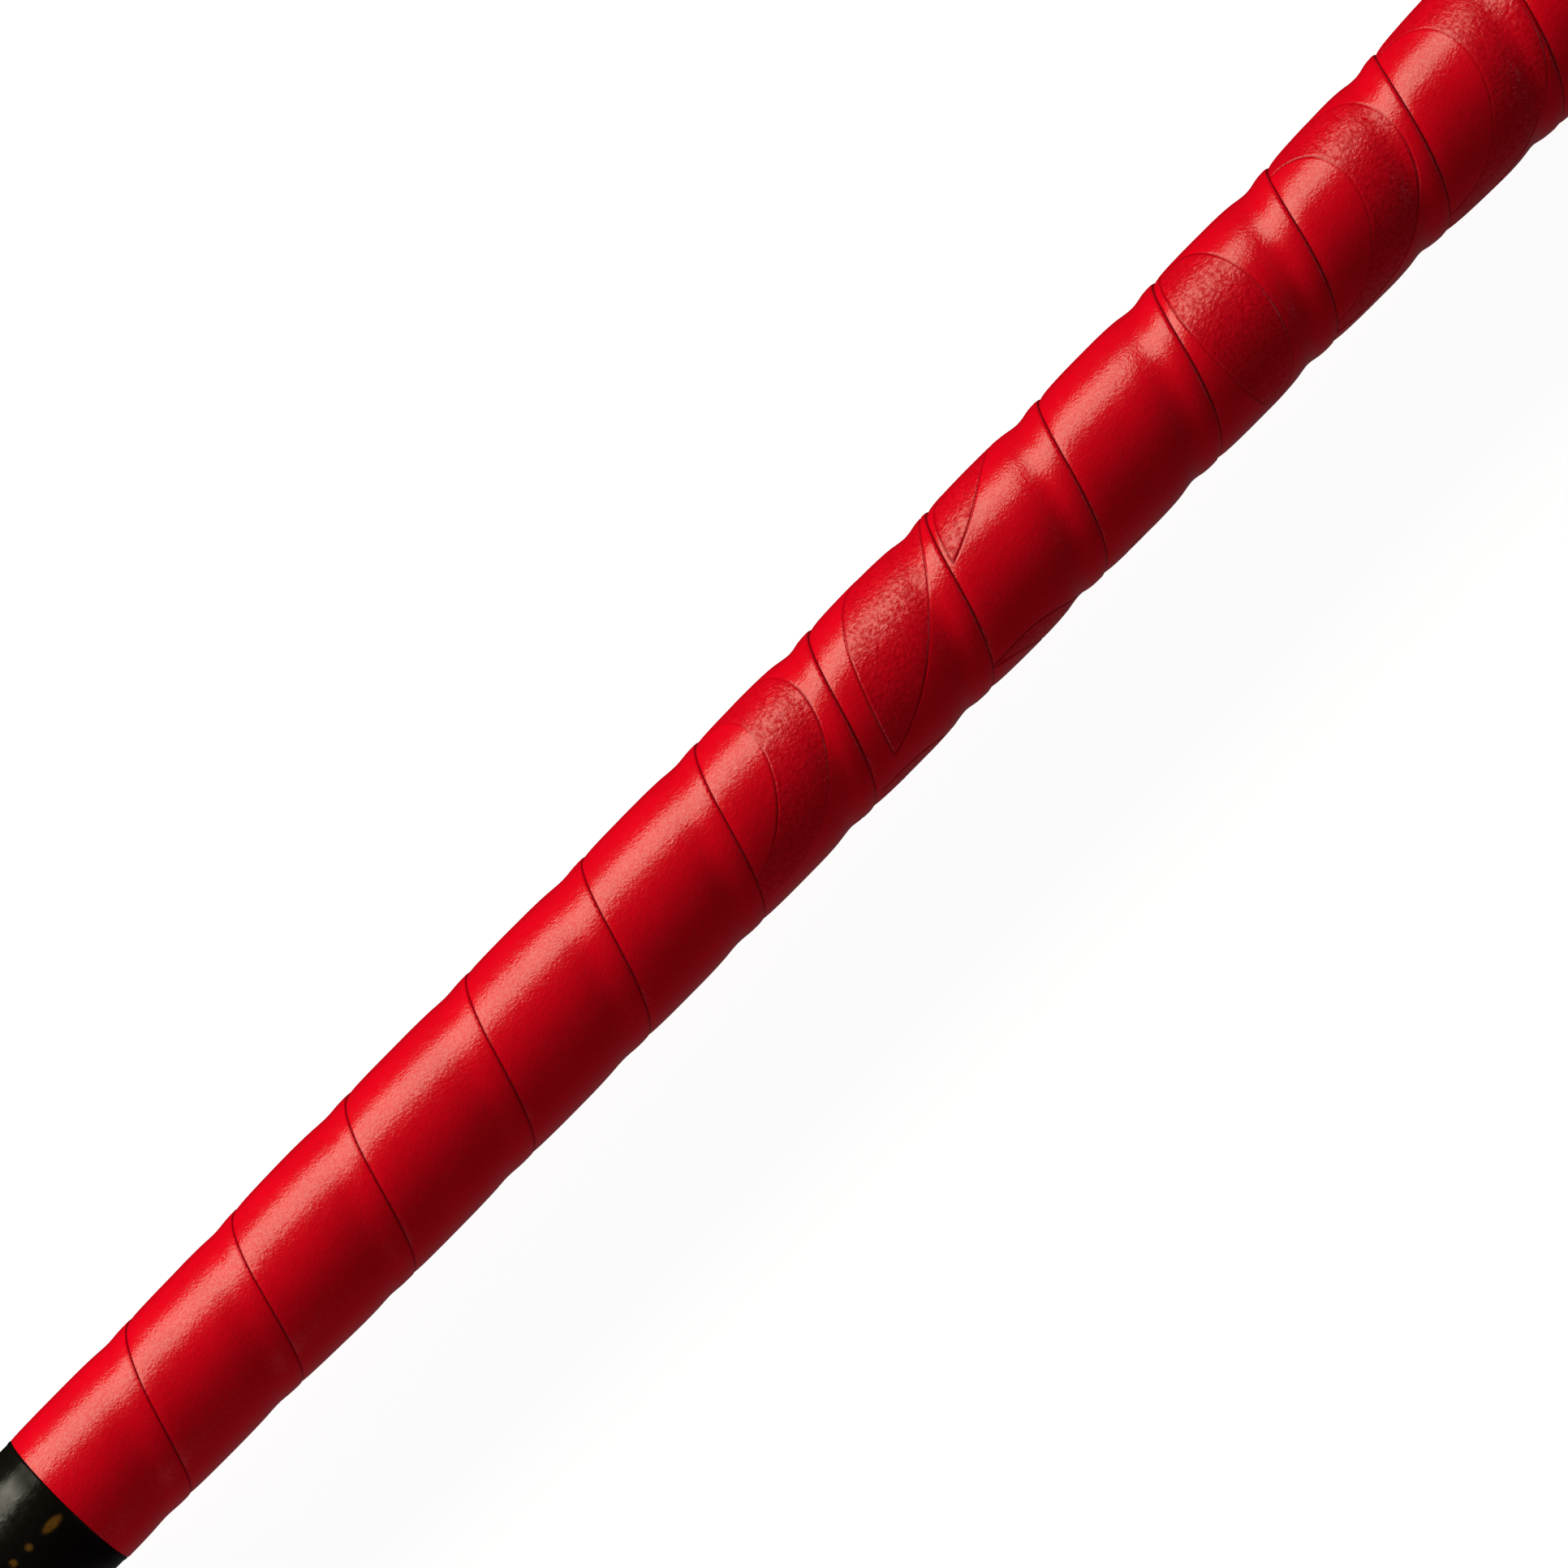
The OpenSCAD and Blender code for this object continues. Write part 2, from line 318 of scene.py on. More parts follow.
def offset_loop(loop, distance):
    """The loop moved sideways by distance, to its left."""
    ahead = np.roll(loop, -1, 0) - np.roll(loop, 1, 0)
    ahead /= np.linalg.norm(ahead, axis=1)[:, None]
    return loop + distance * np.stack([-ahead[:, 1], ahead[:, 0]], 1)


def inside_loop(places, loop):
    """True for the places inside a closed loop, by counting the edges to one side of each."""
    inside = np.zeros(len(places), bool)
    near = np.all((places > loop.min(0)) & (places < loop.max(0)), axis=1)
    x, y = places[near].T
    crossed = np.zeros(near.sum(), int)
    for (x0, y0), (x1, y1) in zip(loop, np.roll(loop, -1, 0)):
        if y0 != y1:
            spans = (y0 > y) != (y1 > y)
            crossed += spans & (x < x0 + (y - y0) * (x1 - x0) / (y1 - y0))
    inside[near] = crossed % 2 == 1
    return inside


def densified(loop, step):
    ends = np.roll(loop, -1, 0)
    return np.concatenate([
        a + (b - a) * np.linspace(0, 1, max(2, int(np.linalg.norm(b - a) / step) + 1))[:-1, None]
        for a, b in zip(loop, ends)
    ])


def nearest_distance(places, targets):
    tree = kdtree.KDTree(len(targets))
    for i, p in enumerate(targets):
        tree.insert((p[0], p[1], 0), i)
    tree.balance()
    return np.array([tree.find((p[0], p[1], 0))[2] for p in places])


def strip_outline():
    """The strip's edge as a loop of flat places: lip, sleeve end cut square, hidden edge, outer end."""

    def at(x, t):
        return np.array([(TURNS - (x + t - FIRST_SEAM) / PITCH) * TURN_LEN, t])

    corners = [at(GRIP_TO, 0), at(GRIP_FROM, 0), at(GRIP_FROM, STRIP_W), at(GRIP_TO, STRIP_W)]
    loop = []
    for a, b in zip(corners, corners[1:] + corners[:1]):
        n = max(4, round(np.linalg.norm(b - a) / GRID_STEP))
        loop += [a + (b - a) * i / n for i in range(n)]
    return np.array(loop)


def triangulate(edge, inner, chains=()):
    """Triangles inside the edge loop through the inner places, with the chains kept as edges."""
    places = [Vector(p) for p in (*edge, *inner)]
    links = []
    for chain, closed in chains:
        first = len(places)
        places += [Vector(p) for p in chain]
        links += [(first + i, first + i + 1) for i in range(len(chain) - 1)]
        if closed:
            links.append((first + len(chain) - 1, first))
    keep_inside, same_place = 1, 1e-5
    outline = [list(range(len(edge)))]
    found = geometry.delaunay_2d_cdt(places, links, outline, keep_inside, same_place)
    out, _, triangles, originals, _, _ = found
    rim = [None] * len(edge)
    for new, olds in enumerate(originals):
        for old in olds:
            if old < len(edge):
                rim[old] = new
    return np.array([tuple(p) for p in out]), triangles, rim


def kept_runs(loop):
    """Parts of a closed loop that lie on the strip's visible face, as open or closed chains."""
    ok = (loop[:, 1] > LIP_CLEAR) & (loop[:, 1] < PITCH - FOOT_CLEAR)
    if ok.all():
        return [(loop, True)]
    if not ok.any():
        return []
    start = int(np.argmin(ok))
    runs, run = [], []
    for p, good in zip(np.roll(loop, -start, 0), np.roll(ok, -start)):
        if good:
            run.append(p)
        elif run:
            runs.append((np.array(run), False))
            run = []
    if run:
        runs.append((np.array(run), False))
    return [r for r in runs if len(r[0]) > 2]


def inner_grid(edge, rows, step, clear):
    """Flat places in rows inside the strip's edge, that clear of its two cut ends."""
    columns = np.arange(edge[:, 0].min(), edge[:, 0].max(), GRID_STEP)[::step]
    grid = np.array([(along, t) for t in rows for along in columns])
    grid = grid[inside_loop(grid, edge)]
    x = seam_x(grid[:, 0] / TURN_LEN) - grid[:, 1]
    return grid[(x > GRIP_FROM + clear) & (x < GRIP_TO - clear)]


def wound(places, radius_of):
    """Points of flat strip places once wound, and the t of each."""
    phi = places[:, 0] / TURN_LEN
    x, t = strip_place(phi, places[:, 1])
    r = radius_of(x, t) + hand_made(x, phi)
    angle = 2 * np.pi * phi
    return np.stack([x, r * np.cos(angle), r * np.sin(angle)], 1), t


def grip_strip():
    """Points, faces and marks of one wound grip strip: a thin solid with a pressed upper face."""
    edge = strip_outline()
    loops = motif_outlines()
    line = np.concatenate([densified(loop, LINE_STEP) for loop in loops])
    grid = inner_grid(edge, ROWS, step=1, clear=0.35)
    grid = grid[nearest_distance(grid, line) > LINE_CLEAR]
    rails = (GROOVE_FLAT, GROOVE_HALF, GROOVE_HALF + GROOVE_MARGIN)
    chains = []
    for loop in loops:
        for shift in [-rail for rail in rails[::-1]] + [*rails]:
            chains += kept_runs(offset_loop(loop, shift))
    top, top_faces, top_rim = triangulate(edge, grid, chains)
    under, under_faces, under_rim = triangulate(edge, inner_grid(edge, UNDER_ROWS, step=2, clear=1.0))

    from_line = nearest_distance(top, line)
    pressed = np.zeros(len(top))
    for loop in loops:
        pressed = np.maximum(pressed, inside_loop(top, loop))
    pressed = pressed * smoothstep((from_line - 0.02) / PRESSED_SLOPE)
    groove = 1 - smoothstep((from_line - GROOVE_FLAT) / (GROOVE_HALF - GROOVE_FLAT))
    patches = noise_at(np.pad(top, ((0, 0), (0, 1))), 15.0, seed=7)  # where the groove is pressed in well
    groove *= 0.4 + 0.6 * smoothstep((patches + 0.2) / 0.3)

    def top_radius(x, t):
        return crest_radius(x) - lap_drop(x, t) - GROOVE_DEEP * groove - PRESSED_DEEP * pressed

    def over_strip(t):
        return t < OVERLAP + 0.1

    def under_radius(x, t):
        over_edge = lap_drop(x, t + PITCH) - FILM
        return crest_radius(x) - np.where(over_strip(t), np.minimum(over_edge, STRIP_T), STRIP_T)

    def rim_radius(x, t):
        below = np.where(over_strip(t), lap_drop(x, t + PITCH), STRIP_T)
        return crest_radius(x) - 0.5 * (lap_drop(x, t) + below)

    top_points, top_t = wound(top, top_radius)
    under_points, _ = wound(under, under_radius)
    rim_points, _ = wound(edge, rim_radius)
    rim_points[:, 0] += np.where(edge[:, 1] < 1e-6, LIP_BULGE, 0)

    points = np.concatenate([top_points, rim_points, under_points])
    mid, low = len(top), len(top) + len(edge)
    faces = [tuple(reversed(f)) for f in top_faces]
    faces += [tuple(low + v for v in f) for f in under_faces]
    n = len(edge)
    for i in range(n):
        k = (i + 1) % n
        faces.append((top_rim[i], top_rim[k], mid + k, mid + i))
        faces.append((mid + i, mid + k, low + under_rim[k], low + under_rim[i]))

    rest = np.zeros(len(points) - len(top))
    marks = {
        "from_lip": np.concatenate([top_t, rest]),
        "pressed": np.concatenate([pressed, rest]),
        "groove": np.concatenate([groove, rest]),
    }
    return points, faces, marks


# ---------- materials ----------


class Nodes:
    """Small helper that builds one procedural material."""

    def __init__(self, name):
        self.material = bpy.data.materials.new(name)
        self.material.use_nodes = True
        self.tree = self.material.node_tree
        self.shader = self.tree.nodes["Principled BSDF"]
        self.place = self.tree.nodes.new("ShaderNodeTexCoord").outputs["Object"]

    def node(self, kind, inputs=None, **settings):
        made = self.tree.nodes.new("ShaderNode" + kind)
        for key, value in settings.items():
            setattr(made, key, value)
        for key, value in (inputs or {}).items():
            self.put(made.inputs[key], value)
        return made

    def put(self, socket, value):
        if isinstance(value, bpy.types.NodeSocket):
            self.tree.links.new(value, socket)
        else:
            socket.default_value = value

    def set(self, **values):
        """Sets the shader's own sockets, by their names with _ for a space.

        A socket set first to a number and then to a node keeps the number for uses that can't read nodes.
        """
        for key, value in values.items():
            self.put(self.shader.inputs[key.replace("_", " ")], value)

    def noise(self, size_mm, detail=2.0, stretch=(1, 1, 1)):
        """Noise with features of about size_mm, stretched along the stick's axes."""
        scaled = self.node("Mapping", {"Vector": self.place, "Scale": [1 / s for s in stretch]})
        inputs = {"Vector": scaled.outputs[0], "Scale": 1 / (size_mm * MM), "Detail": detail}
        return self.node("TexNoise", inputs).outputs["Fac"]

    def cells(self, size_mm):
        made = self.node("TexVoronoi", {"Vector": self.place, "Scale": 1 / (size_mm * MM)})
        return made.outputs["Distance"]

    def mark(self, name):
        return self.node("Attribute", attribute_name=name).outputs["Fac"]

    def math(self, operation, a, b=0.0, c=0.0):
        return self.node("Math", {0: a, 1: b, 2: c}, operation=operation).outputs[0]

    def ramp(self, value, low, high, to_low=0.0, to_high=1.0):
        limits = {"From Min": low, "From Max": high, "To Min": to_low, "To Max": to_high}
        made = self.node("MapRange", {"Value": value, **limits}, interpolation_type="SMOOTHSTEP")
        return made.outputs[0]

    def vary(self, noise, to_low=0.0, to_high=1.0):
        """A value that follows the noise over its usual span, from to_low to to_high."""
        return self.ramp(noise, 0.3, 0.7, to_low, to_high)

    def mix(self, share, a, b):
        made = self.node("Mix", {0: share}, data_type="RGBA")
        self.put(made.inputs[6], a)
        self.put(made.inputs[7], b)
        return made.outputs[2]

    def bump(self, layers):
        """Chains bump layers of (height, depth in millimetres) into the shader's normal."""
        normal = None
        for height, depth in layers:
            made = self.node("Bump", {"Height": height, "Distance": depth * MM, "Strength": 1.0})
            if normal is not None:
                self.put(made.inputs["Normal"], normal)
            normal = made.outputs[0]
        self.put(self.shader.inputs["Normal"], normal)


def rgba(r, g, b):
    return (r, g, b, 1.0)


def red_grip():
    """Polyurethane grip strip: saturated red, fine pored, stippled where it is pressed, with painted shade
    in the seam crevices and the motif grooves.
    """
    m = Nodes("red_grip")
    pressed, from_lip, groove = m.mark("pressed"), m.mark("from_lip"), m.mark("groove")
    # Painted shade: the seam crevice, at the lip and under the next lip, is darkened in the base colour
    # below.
    at_lip, at_foot = m.ramp(from_lip, 0.04, 0.26, 1, 0), m.ramp(from_lip, PITCH - 0.32, PITCH - 0.06)
    painted_seam_shade = m.math("MAXIMUM", at_lip, at_foot)
    grain = m.noise(0.45, 2)
    cloud = m.math("MULTIPLY_ADD", m.vary(grain), 0.5, m.ramp(m.noise(9, 3), 0.35, 0.65, 0.0, 0.5))
    body = m.mix(cloud, rgba(0.72, 0.0, 0.011), rgba(0.63, 0.0, 0.009))
    stipple = m.math("MULTIPLY", pressed, m.ramp(m.noise(0.7, 4), 0.44, 0.6))
    dulled = m.math("MULTIPLY_ADD", stipple, 0.22, m.math("MULTIPLY", pressed, 0.12))
    worked = m.mix(dulled, body, rgba(0.26, 0.0, 0.006))
    # Painted shade: the motif grooves are darkened to a dark red.
    with_groove_shade = m.mix(m.math("MULTIPLY", groove, 0.6), worked, rgba(0.16, 0.0, 0.003))
    lip = m.ramp(from_lip, 0.15, 0.8, 0.9, 0)
    # The specular level is cut in the seam crevices and the grooves as painted shade, and also near the
    # lip.
    sunk = m.math("MAXIMUM", m.math("MAXIMUM", painted_seam_shade, lip), m.math("MULTIPLY", groove, 0.7))
    shine = m.math("MULTIPLY_ADD", stipple, -0.24, m.vary(grain, 0.28, 0.46))
    m.set(Specular_IOR_Level=0.36)
    m.set(
        # Painted shade: dark red in the seam crevices.
        Base_Color=m.mix(m.math("MULTIPLY", painted_seam_shade, 0.78), with_groove_shade, rgba(0.19, 0.0, 0.004)),
        Roughness=m.math("MULTIPLY_ADD", pressed, 0.05, m.vary(m.noise(1.4, 3), 0.20, 0.25)),
        Specular_IOR_Level=m.math("MULTIPLY", shine, m.math("MULTIPLY_ADD", sunk, -0.85, 1.0)),
    )
    m.bump([
        (m.noise(7.0, 2), 0.045),
        (m.noise(1.4, 3), 0.045),
        (m.noise(0.8, 2), 0.025),
        (grain, 0.055),
        (m.math("MULTIPLY", pressed, m.noise(0.6, 3)), 0.11),
    ])
    return m.material


def black_sleeve():
    """Shrunk black sleeve with worn gold foil marks."""
    m = Nodes("black_sleeve")
    foil = m.math("MULTIPLY", m.mark("foil"), m.ramp(m.noise(0.5, 3), 0.30, 0.46))
    from_middle = m.math("ABSOLUTE", m.node("SeparateXYZ", {0: m.place}).outputs[0])
    rubbed_from, rubbed_to = 5.0, 1.5  # mm in from the sleeve's ends
    rubbed = m.ramp(from_middle, (SLEEVE_TO - rubbed_from) * MM, (SLEEVE_TO - rubbed_to) * MM)
    patchy = m.ramp(m.noise(6, 2), 0.35, 0.6, 0.25, 0.5)
    m.set(Specular_IOR_Level=0.36)
    m.set(
        Base_Color=m.mix(foil, rgba(0.005, 0.004, 0.003), rgba(0.26, 0.12, 0.015)),
        Metallic=m.math("MULTIPLY", foil, 0.5),
        Roughness=m.vary(m.noise(1.1, 3), 0.2, 0.28),
        Specular_IOR_Level=m.math("MULTIPLY", patchy, m.math("MULTIPLY_ADD", rubbed, -0.8, 1.0)),
    )
    m.bump([(m.noise(3.0, 2), 0.08), (m.noise(0.6, 2), 0.03)])
    return m.material


def cap_rubber():
    m = Nodes("cap_rubber")
    dust = m.ramp(m.noise(6, 4), 0.45, 0.75)
    m.set(
        Base_Color=m.mix(dust, rgba(0.018, 0.018, 0.019), rgba(0.045, 0.044, 0.043)),
        Roughness=m.vary(m.noise(1.2, 3), 0.48, 0.66),
        Specular_IOR_Level=0.45,
    )
    m.bump([(m.noise(0.35, 3), 0.03), (m.noise(5, 2), 0.06)])
    return m.material


def turned_steel(name, tint):
    """Steel with fine rings from turning, about the stick's axis."""
    m = Nodes(name)
    feed = 0.25 * MM  # distance between two rings
    _, y, z = m.node("SeparateXYZ", {0: m.place}).outputs
    radius = m.math("SQRT", m.math("ADD", m.math("MULTIPLY", y, y), m.math("MULTIPLY", z, z)))
    rings = m.math("SINE", m.math("MULTIPLY", radius, 2 * math.pi / feed))
    smudge = m.noise(2.5, 3)
    m.set(
        Base_Color=m.mix(m.vary(smudge), rgba(*tint), rgba(*(0.8 * c for c in tint))),
        Metallic=1.0,
        Roughness=m.vary(smudge, 0.2, 0.34),
    )
    m.bump([(rings, 0.004), (m.noise(0.4, 2), 0.004)])
    return m.material


def turned_wood():
    m = Nodes("turned_wood")
    grain = m.noise(1.1, 4, stretch=(18, 1, 1))
    figure = m.noise(7, 2, stretch=(10, 1, 1))
    colour = m.mix(m.ramp(grain, 0.35, 0.65), rgba(0.55, 0.33, 0.15), rgba(0.36, 0.19, 0.08))
    m.set(
        Base_Color=m.mix(m.math("MULTIPLY", m.ramp(figure, 0.4, 0.7), 0.5), colour, rgba(0.62, 0.40, 0.2)),
        Roughness=m.vary(grain, 0.5, 0.65),
    )
    m.bump([(grain, 0.05)])
    return m.material


def grey_foam():
    m = Nodes("grey_foam")
    pores = m.cells(0.6)
    m.set(
        Base_Color=m.mix(m.ramp(pores, 0.1, 0.6), rgba(0.22, 0.22, 0.23), rgba(0.34, 0.34, 0.36)),
        Roughness=m.ramp(pores, 0, 0.6, 0.95, 0.85),
    )
    m.bump([(pores, 0.15)])
    return m.material


def dark_rubber():
    m = Nodes("collar_rubber")
    speck = m.noise(0.8, 3)
    m.set(
        Base_Color=m.mix(m.ramp(speck, 0.4, 0.7), rgba(0.04, 0.04, 0.04), rgba(0.08, 0.08, 0.08)),
        Roughness=m.vary(speck, 0.7, 0.85),
    )
    m.bump([(speck, 0.05)])
    return m.material


def vinyl_tape():
    m = Nodes("vinyl_tape")
    stretch_marks = m.noise(1.5, 2, stretch=(6, 1, 1))
    m.set(
        Base_Color=m.mix(m.vary(stretch_marks), rgba(0.03, 0.03, 0.035), rgba(0.05, 0.05, 0.055)),
        Roughness=m.vary(stretch_marks, 0.35, 0.5),
    )
    m.bump([(stretch_marks, 0.04)])
    return m.material


# ---------- pieces ----------


def build_grips(material):
    points, faces, marks = grip_strip()
    make_pair("grip", points, faces, material, "grip_red", "grip_strip", smooth_deg=45, marks=marks)


# Foil marks along the sleeve: distance in from its end, half length and half width, in millimetres
FOIL_MARKS = [(3.3, 1.9, 0.75), (8.0, 0.6, 0.6), (11.2, 0.6, 0.6), (14.4, 0.6, 0.6)]
FOIL_ROWS = 3  # lines of marks round the sleeve
FOIL_FROM_Y = 94.0  # angle of the first line, from +Y towards +Z


def build_sleeve(material):
    """Black sleeve, with a thin proud lip at each end and a slight waist between them."""
    segments, step, bevel_x, bevel_r = 288, 0.28, 0.25, 0.12
    xs = np.linspace(SLEEVE_FROM + bevel_x, SLEEVE_TO - bevel_x, round((SLEEVE_TO - SLEEVE_FROM) / step))
    from_end = SLEEVE_TO - np.abs(xs)
    lip, waist = np.exp(-((from_end - 0.45) / 0.35) ** 2), smoothstep(from_end / 14)
    inner, shoulder = SLEEVE_R - SLEEVE_T, SLEEVE_R - bevel_r
    profile = [(inner, SLEEVE_FROM), (shoulder, SLEEVE_FROM)]
    profile += [(SLEEVE_R + swell, x) for swell, x in zip(0.12 * lip - 0.06 * waist, xs)]
    profile += [(shoulder, SLEEVE_TO), (inner, SLEEVE_TO)]
    points, faces = lathe(profile, segments)
    radius = np.hypot(points[:, 1], points[:, 2])
    outer = radius > SLEEVE_R - SLEEVE_T / 3
    uneven = np.where(outer, 0.035 * noise_at(points, 6.0, seed=5), 0)
    points[:, 1:] *= (1 + uneven / radius)[:, None]
    angle = np.degrees(np.arctan2(points[:, 2], points[:, 1]))
    row_deg = 360 / FOIL_ROWS
    across = (angle - FOIL_FROM_Y + row_deg / 2) % row_deg - row_deg / 2
    across = np.radians(across) * SLEEVE_R
    inward = SLEEVE_TO - np.abs(points[:, 0])
    foil = np.zeros(len(points))
    for place, half_long, half_wide in FOIL_MARKS:
        reach = np.hypot((inward - place) / half_long, across / half_wide)
        foil = np.maximum(foil, 1 - smoothstep((reach - 0.35) / 0.85))
    marks = {"foil": foil * outer}
    make_piece("sleeve", points, faces, material, "sleeve_black", "centre_sleeve", marks=marks)


def build_caps(material):
    """Rubber caps: skirt over the grip's end, two finger grooves, rounded nose and a screw well."""
    bore, well, well_round, nose, brim, clear = 2.65, 7.6, 0.35, 4.0, 0.8, 0.35
    face_rings, finger_grooves = (11.6, 9.9), (CAP_FROM + 3, CAP_FROM + 6)
    groove_half, groove_round = 0.65, 0.15
    rest_x = CORE_TO + FILM  # where the cap sits on the core's end
    well_floor = rest_x + 3.8
    skirt, seat = crest_radius(CAP_FROM) + clear, crest_radius(CORE_TO) + clear
    profile = [(bore, rest_x), (seat - 0.3, rest_x), (seat, rest_x - 0.3)]
    profile += [(skirt + 0.25, CAP_FROM + 0.5), (skirt + 0.45, CAP_FROM + 0.1), (skirt + 0.8, CAP_FROM)]
    profile += arc(CAP_R - brim, CAP_FROM + brim, brim, -90, 0)
    for middle in finger_grooves:
        bottom = ((0.42, -0.36), (0.5, -0.2), (0.5, 0.2), (0.42, 0.36))
        profile += arc(CAP_R - groove_round, middle - groove_half, groove_round, 0, 60, 3)
        profile += [(CAP_R - deep, middle + x) for deep, x in bottom]
        profile += arc(CAP_R - groove_round, middle + groove_half, groove_round, -60, 0, 3)
    profile += arc(CAP_R - nose, CAP_TO - nose, nose, 0, 90, 14)
    for ring in face_rings:
        section = ((0.45, 0), (0.2, 0.22), (-0.2, 0.22), (-0.45, 0))
        profile += [(ring + across, CAP_TO - deep) for across, deep in section]
    profile += arc(well + well_round, CAP_TO - well_round, well_round, 90, 180, 4)
    profile += [(well, well_floor + 0.25), (well - 0.25, well_floor), (bore, well_floor)]
    points, faces = lathe(profile, 128)
    make_pair("cap", points, faces, material, "cap_rubber", "end_cap", smooth_deg=38)


def build_washers(material):
    low, high = span_x("end_washer_right")
    outer, inner, bevel = 7.0, 2.65, 0.2
    profile = [(inner, low + bevel), (inner + bevel, low), (outer - bevel, low), (outer, low + bevel)]
    profile += [(outer, high - bevel), (outer - bevel, high), (inner + bevel, high), (inner, high - bevel)]
    points, faces = lathe(profile)
    make_pair("washer", points, faces, material, "fastener_steel", "end_washer", smooth_deg=30)


def build_screws(material):
    """Button-head M5 screws: rolled thread, domed head and a hexagon socket with a drilled point."""
    low, high = span_x("end_screw_right")
    under_head = span_x("end_washer_right")[1]
    segments, pitch, core, outer, thread_end, tip = 48, 0.8, 2.05, 2.48, 3.0, 1.2
    head, rim, crown = 4.75, 0.6, 1.95  # radius, height of the straight rim, and how far the dome draws in
    flat, socket_deep, chamfer = 1.5, 1.5, 0.15
    angles = 2 * np.pi * np.arange(segments) / segments
    plain = np.ones(segments)
    rings = [(low, 0 * plain)]
    thread_to = under_head - thread_end
    for x in np.arange(low, thread_to, pitch / 8):
        turn = (x / pitch - angles / (2 * np.pi)) % 1
        ridge = np.clip(2.6 * (0.5 - np.abs(turn - 0.5)) - 0.1, 0, 1)
        taper = min(1.0, (x - low) / tip)
        rings.append((x, (core + (outer - core) * ridge) * (0.72 + 0.28 * taper)))
    rings += [(thread_to, outer * plain), (under_head - chamfer, outer * plain)]
    rings += [(under_head, (outer + chamfer) * plain), (under_head, (head - 0.1) * plain)]
    rings += [(under_head + 0.1, head * plain), (under_head + rim, head * plain)]
    dome = high - under_head - rim
    for v in np.radians([15, 30, 45, 60, 75, 90]):
        rings.append((under_head + rim + dome * math.sin(v), (head - crown * (1 - math.cos(v))) * plain))
    hexagon = flat / np.cos((angles + math.pi / 6) % (math.pi / 3) - math.pi / 6)
    rings += [(high, (flat / math.cos(math.pi / 6) + 0.25) * plain), (high - chamfer, hexagon)]
    rings += [(high - socket_deep, hexagon), (high - socket_deep - 0.1, 0.9 * hexagon)]
    rings.append((high - socket_deep - 0.6, 0 * plain))
    points, faces = skin_rings(rings)
    make_pair("screw", points, faces, material, "fastener_steel", "end_screw", smooth_deg=35)


def build_cushions(material):
    """Foam tape wound edge to edge on the core, with a fine nick along each joint."""
    segments, tape_w, nick_deep, nick_half = 60, 25.0, 0.25, 1.6
    xs = np.linspace(GRIP_FROM, GRIP_TO, 160)
    outside = list(zip(core_radius(xs) + CUSHION_T + FILM, xs))
    points, faces = lathe(outside + [(r - CUSHION_T, x) for r, x in outside[::-1]], segments)
    radius = np.hypot(points[:, 1], points[:, 2])
    turn = np.arctan2(points[:, 2], points[:, 1]) / (2 * np.pi)
    joint = np.abs((points[:, 0] / tape_w + turn + 0.5) % 1 - 0.5) * tape_w
    skin = radius > core_radius(points[:, 0]) + CUSHION_T / 2
    nick = np.where(skin, nick_deep * (1 - smoothstep(joint / nick_half)), 0)
    points[:, 1:] *= (1 - nick / radius)[:, None]
    for piece in make_pair("cushion", points, faces, material, "cushion_foam", "cushion_tape"):
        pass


def dress_cad_nodes(materials):
    """Materials for the hidden CAD nodes whose plain turned shapes are right as they are."""
    for node, material in materials.items():
        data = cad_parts[node].data
        data.materials.clear()
        data.materials.append(material)


# ---------- camera, light and floor ----------


def lay_floor():
    """Pale floor under the caps, which shows no colour of its own on the stick."""
    half = 12.0
    corners = [(-half, -half, 0), (half, -half, 0), (half, half, 0), (-half, half, 0)]
    mesh = bpy.data.meshes.new("floor")
    mesh.from_pydata(corners, [], [(0, 1, 2, 3)])
    floor = bpy.data.objects.new("floor", mesh)
    floor.location.z = -CAP_R * MM
    m = Nodes("pale_floor")
    m.set(
        Base_Color=m.mix(m.noise(400, 2), rgba(0.24, 0.24, 0.24), rgba(0.27, 0.27, 0.27)),
        Roughness=0.9,
        Emission_Color=rgba(1, 1, 1),
        Emission_Strength=0.93,
    )
    mesh.materials.append(m.material)
    floor.visible_diffuse = False
    floor.visible_glossy = False
    bpy.context.scene.collection.objects.link(floor)


def placed(at, right, up, back):
    """Matrix that puts a light or camera at a place, turned to face away from back."""
    return Matrix.Translation(at) @ Matrix((right, up, back)).transposed().to_4x4()


def area_light(name, aim, towards, distance, size, watts, colour, turn_up=0.0):
    """Rectangular light that shines at aim from a direction.

    Its long side runs along the stick, with its right end turned up by turn_up degrees.
    """
    data = bpy.data.lights.new(name, "AREA")
    data.shape = "RECTANGLE"
    data.size, data.size_y = size
    data.energy = watts
    data.color = colour
    lamp = bpy.data.objects.new(name, data)
    back = Vector(towards).normalized()
    along = Vector((1, 0, 0))
    along = (along - back * along.dot(back)).normalized()
    along = Quaternion(back, math.radians(-turn_up)) @ along
    lamp.matrix_world = placed(aim + back * distance, along, back.cross(along), back)
    lamp.visible_camera = False
    bpy.context.scene.collection.objects.link(lamp)
    return lamp


def direction(side_deg, rise_deg, along=0.0):
    """Direction to a light: rise above the floor, on the +Y side at 90 degrees, leaning along X."""
    rise = math.radians(rise_deg)
    return Vector((along, math.cos(rise) * math.sin(math.radians(side_deg)), math.sin(rise)))


